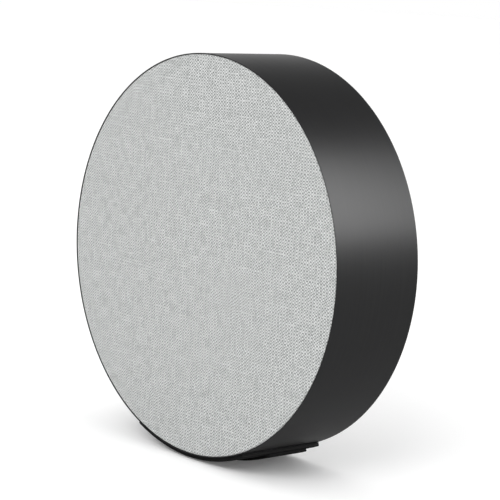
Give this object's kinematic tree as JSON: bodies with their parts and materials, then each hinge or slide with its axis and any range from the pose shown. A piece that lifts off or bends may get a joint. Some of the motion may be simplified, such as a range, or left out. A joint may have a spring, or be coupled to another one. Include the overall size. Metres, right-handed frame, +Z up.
{
  "type": "smart home hub",
  "caption": "Round smart home hub standing on its rim, with a cloth front, a dark metal ring, a curved foot, and a rear with sockets, button and slider.",
  "frame": {"origin": "on the table, under the middle of the ring", "axes": "+Z up, the ring's axis along Y with the cloth front facing -Y, +X to the right seen from the front"},
  "size_m": [0.2, 0.0534, 0.2029],
  "materials": {
    "ring_metal": "satin dark anodised",
    "front_cloth": "light grey woven",
    "foot_plastic": "fine moulded texture",
    "sole_rubber": "matt",
    "cover_plastic": "moulded",
    "housing_plastic": "fine moulded texture",
    "button_plastic": "satin",
    "soft_rubber": "matt",
    "black_steel": "blackened",
    "zinc_steel": "zinc plated",
    "ferrite": "ground grey",
    "cone_poly": "woven look, satin",
    "former_film": "amber film",
    "copper": "enamelled wire",
    "spider_cloth": "resin-stiffened",
    "gasket_foam": "closed-cell foam",
    "circuit_board": "solder mask",
    "chip_plastic": "moulded",
    "tinned_shell": "tinned",
    "thermal_rubber": "soft",
    "sink_aluminium": "black anodised",
    "capacitor_can": "sleeved",
    "light_diffuser": "frosted",
    "flex_film": "amber film",
    "lead_red_black": "soft insulation",
    "mesh_black": "fine mesh"
  },
  "bodies": {
    "housing": {"body_ring": "ring_metal", "foot_pad": "foot_plastic", "foot_sole": "sole_rubber", "foot_screws": "black_steel", "foot_backing_plate": "zinc_steel", "cover_grommets": "soft_rubber", "front_baffle": "housing_plastic", "baffle_screws": "black_steel", "driver_gasket": "gasket_foam", "driver_basket": "black_steel", "driver_top_plate": "zinc_steel", "driver_magnet": "ferrite", "driver_yoke": "zinc_steel", "driver_surround": "soft_rubber", "driver_spider": "spider_cloth", "driver_screws": "black_steel", "driver_terminals": "chip_plastic", "speaker_chamber": "housing_plastic", "chamber_seal": "gasket_foam", "chamber_screws": "zinc_steel", "lead_grommet": "soft_rubber", "rear_cover": "housing_plastic", "rear_seal": "soft_rubber", "rear_screws": "black_steel", "vent_mesh": "mesh_black", "main_board": "circuit_board", "board_screws": "zinc_steel", "network_socket": "tinned_shell", "usb_socket": "tinned_shell", "power_socket": "tinned_shell", "processor": "chip_plastic", "thermal_pad": "thermal_rubber", "heat_sink": "sink_aluminium", "shield_cans": "tinned_shell", "radio_modules": "tinned_shell", "memory_chips": "chip_plastic", "power_capacitors": "capacitor_can", "button_board": "circuit_board", "board_header": "chip_plastic", "pairing_switch": "chip_plastic", "mute_switch": "chip_plastic", "mic_board": "circuit_board", "microphones": "tinned_shell", "status_lights": "light_diffuser", "light_guide": "light_diffuser", "mic_flex": "flex_film", "antennas": "flex_film", "antenna_leads": "lead_red_black", "speaker_leads": "lead_red_black"},
    "front_cover": {"cover_frame": "cover_plastic", "front_cloth": "front_cloth", "cover_pegs": "cover_plastic"},
    "cone_assembly": {"driver_cone": "cone_poly", "dust_cap": "cone_poly", "coil_former": "former_film", "coil_winding": "copper"},
    "pairing_button_body": {"pairing_button": "button_plastic", "pairing_plunger": "button_plastic"},
    "mute_slider_body": {"mute_slider": "button_plastic"}
  },
  "joints": [
    {"name": "cover_pull", "type": "slide", "parent": "housing", "child": "front_cover", "axis": [0, -1, 0], "range_m": [0, 0.04]},
    {"name": "cone_stroke", "type": "slide", "parent": "housing", "child": "cone_assembly", "axis": [0, -1, 0], "range_m": [-0.002, 0.002], "stiffness_N_per_m": 1500, "deforming": ["driver_surround", "driver_spider"]},
    {"name": "button_press", "type": "slide", "parent": "housing", "child": "pairing_button_body", "axis": [0, -1, 0], "range_m": [0, 0.0006], "stiffness_N_per_m": 1500},
    {"name": "mute_slide", "type": "slide", "parent": "housing", "child": "mute_slider_body", "axis": [1, 0, 0], "range_m": [0, 0.0025]}
  ]
}
